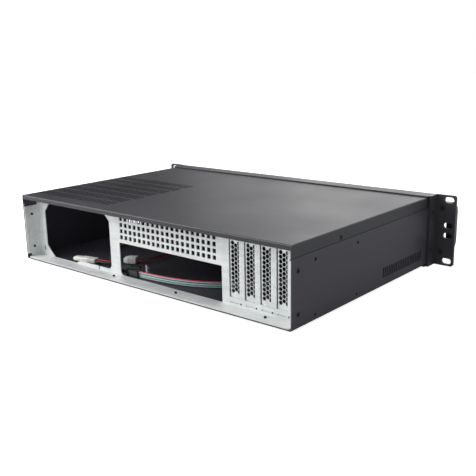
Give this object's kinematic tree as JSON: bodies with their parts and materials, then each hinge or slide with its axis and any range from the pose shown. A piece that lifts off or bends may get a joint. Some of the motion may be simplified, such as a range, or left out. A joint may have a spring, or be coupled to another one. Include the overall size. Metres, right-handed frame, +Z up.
{
  "type": "rackmount server case",
  "caption": "Short two-unit steel rack case, empty, with perforated rear panel, low-profile slot covers, lift-off cover, slotted ears with bow handles and front fans.",
  "frame": {"origin": "bottom centre of the whole case, on the surface that it stands on", "axes": "+Z up, +Y towards the rear panel, +X towards the power supply side, which is the left of the case seen from behind"},
  "size_m": [0.4826, 0.331, 0.0881],
  "materials": {
    "black_steel": "satin black powder coat on folded steel",
    "galvanised": "bare galvanised sheet",
    "zinc_screw": "bright zinc",
    "black_screw": "black oxide",
    "black_ear": "satin black",
    "black_handle": "black anodised",
    "fan_plastic": "moulded black",
    "board_green": "green circuit board",
    "button_grey": "dark grey",
    "lens_green": "clear green lens",
    "lens_red": "clear red lens",
    "socket_metal": "plated shell",
    "ribbon": "flat cable of coloured wires",
    "white_plastic": "natural nylon",
    "wire_red": "insulated wire",
    "wire_black": "insulated wire",
    "wire_yellow": "insulated wire"
  },
  "bodies": {
    "chassis": {"chassis_tray": "black_steel", "rear_panel": "galvanised", "slot_cover_1": "galvanised", "slot_cover_2": "galvanised", "slot_cover_3": "galvanised", "slot_cover_4": "galvanised", "slot_cover_screws": "zinc_screw", "rear_panel_screws": "black_screw", "front_panel": "black_steel", "front_panel_rivets": "black_screw", "front_rail": "galvanised", "left_ear": "black_ear", "right_ear": "black_ear", "ear_screws": "black_screw", "left_handle": "black_handle", "right_handle": "black_handle", "handle_screws": "black_screw", "fan_frame_1": "fan_plastic", "fan_frame_2": "fan_plastic", "fan_screws": "black_screw", "control_board": "board_green", "control_board_posts": "zinc_screw", "control_board_screws": "zinc_screw", "panel_switches": "fan_plastic", "power_led": "lens_green", "drive_led": "lens_red", "usb_socket_1": "socket_metal", "usb_socket_2": "socket_metal", "ribbon_header": "fan_plastic", "board_standoffs": "zinc_screw", "panel_ribbon": "ribbon", "header_plugs": "fan_plastic", "side_fan_plug": "white_plastic", "middle_fan_plug": "white_plastic", "middle_fan_red_wire": "wire_red", "middle_fan_black_wire": "wire_black", "side_fan_red_wire": "wire_red", "side_fan_yellow_wire": "wire_yellow", "side_fan_black_wire": "wire_black"},
    "cover": {"top_cover": "black_steel", "cover_screws": "black_screw"},
    "side_fan": {"fan_rotor_1": "fan_plastic"},
    "middle_fan": {"fan_rotor_2": "fan_plastic"},
    "power_key": {"power_button": "button_grey"},
    "reset_key": {"reset_button": "button_grey"}
  },
  "joints": [
    {"name": "cover_lift", "type": "slide", "parent": "chassis", "child": "cover", "axis": [0, 0, 1], "range_m": [0, 0.12]},
    {"name": "side_fan_spin", "type": "hinge", "parent": "chassis", "child": "side_fan", "pos_m": [0.146, -0.118, 0.0436], "axis": [0, 1, 0], "continuous": true},
    {"name": "middle_fan_spin", "type": "hinge", "parent": "chassis", "child": "middle_fan", "pos_m": [0.06, -0.118, 0.0436], "axis": [0, 1, 0], "continuous": true},
    {"name": "power_press", "type": "slide", "parent": "chassis", "child": "power_key", "axis": [0, 1, 0], "range_m": [0, 0.0015], "stiffness_N_per_m": 600},
    {"name": "reset_press", "type": "slide", "parent": "chassis", "child": "reset_key", "axis": [0, 1, 0], "range_m": [0, 0.001], "stiffness_N_per_m": 600}
  ]
}
